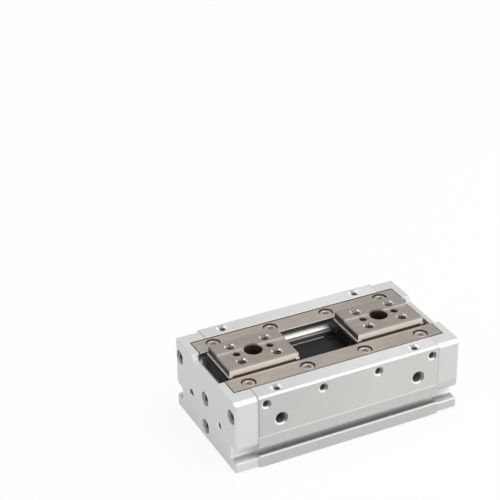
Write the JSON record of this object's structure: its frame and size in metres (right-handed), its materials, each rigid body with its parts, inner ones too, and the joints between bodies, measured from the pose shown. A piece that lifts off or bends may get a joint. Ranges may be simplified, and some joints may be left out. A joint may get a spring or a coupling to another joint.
{
  "type": "pneumatic parallel gripper",
  "caption": "Low wide-opening parallel air gripper: side-by-side pistons, kept in step by racks and a pinion, slide fingers along crossed-roller rails.",
  "frame": {"origin": "centre of the body's underside", "axes": "+X along the stroke and the body's length, +Z from the base up to the fingers, -Y the side with the air ports"},
  "size_m": [0.0936, 0.0528, 0.0336],
  "materials": {
    "anodised_aluminium": "satin, clear anodised",
    "machined_aluminium": "machined",
    "ground_steel": "ground and hardened",
    "bright_steel": "polished",
    "gear_steel": "machined",
    "screw_steel": "plated",
    "black_plate": "black oxide",
    "black_screw": "black oxide",
    "rubber": "matt",
    "wear_plastic": "filled plastic",
    "magnet": "bonded magnet"
  },
  "bodies": {
    "housing": {"body": "anodised_aluminium", "end_cap_left": "anodised_aluminium", "end_cap_right": "anodised_aluminium", "cap_gaskets": "rubber", "piston_bumpers": "rubber", "cap_screws": "screw_steel", "guide_rail_front": "ground_steel", "guide_rail_back": "ground_steel", "rail_screws": "screw_steel", "channel_cover": "black_plate", "cover_screws": "screw_steel", "pinion_cover": "machined_aluminium", "cover_clip": "screw_steel", "pinion_pin": "ground_steel"},
    "left_jaw": {"finger_left": "ground_steel", "end_shims_left": "bright_steel", "roller_stoppers_left": "black_plate", "stopper_screws_left": "black_screw", "rollers_left": "bright_steel", "joint_left": "gear_steel", "piston_front": "machined_aluminium", "piston_seals_front": "rubber", "wear_ring_front": "wear_plastic", "piston_magnet_front": "magnet"},
    "right_jaw": {"finger_right": "ground_steel", "end_shims_right": "bright_steel", "roller_stoppers_right": "black_plate", "stopper_screws_right": "black_screw", "rollers_right": "bright_steel", "joint_right": "gear_steel", "piston_back": "machined_aluminium", "piston_seals_back": "rubber", "wear_ring_back": "wear_plastic", "piston_magnet_back": "magnet"},
    "pinion": {"pinion": "gear_steel"}
  },
  "joints": [
    {"name": "left_slide", "type": "slide", "parent": "housing", "child": "left_jaw", "axis": [1, 0, 0], "range_m": [0, 0.011]},
    {"name": "right_slide", "type": "slide", "parent": "housing", "child": "right_jaw", "axis": [-1, 0, 0], "range_m": [0, 0.011]},
    {"name": "pinion_spin", "type": "hinge", "parent": "housing", "child": "pinion", "pos_m": [0, 0, 0.013], "axis": [0, 0, 1], "range_deg": [0, 113]}
  ],
  "couplings": [
    {"joint": "right_slide", "follows": "left_slide", "ratio": 1},
    {"joint": "pinion_spin", "follows": "left_slide", "rad_per_m": 178.57}
  ]
}
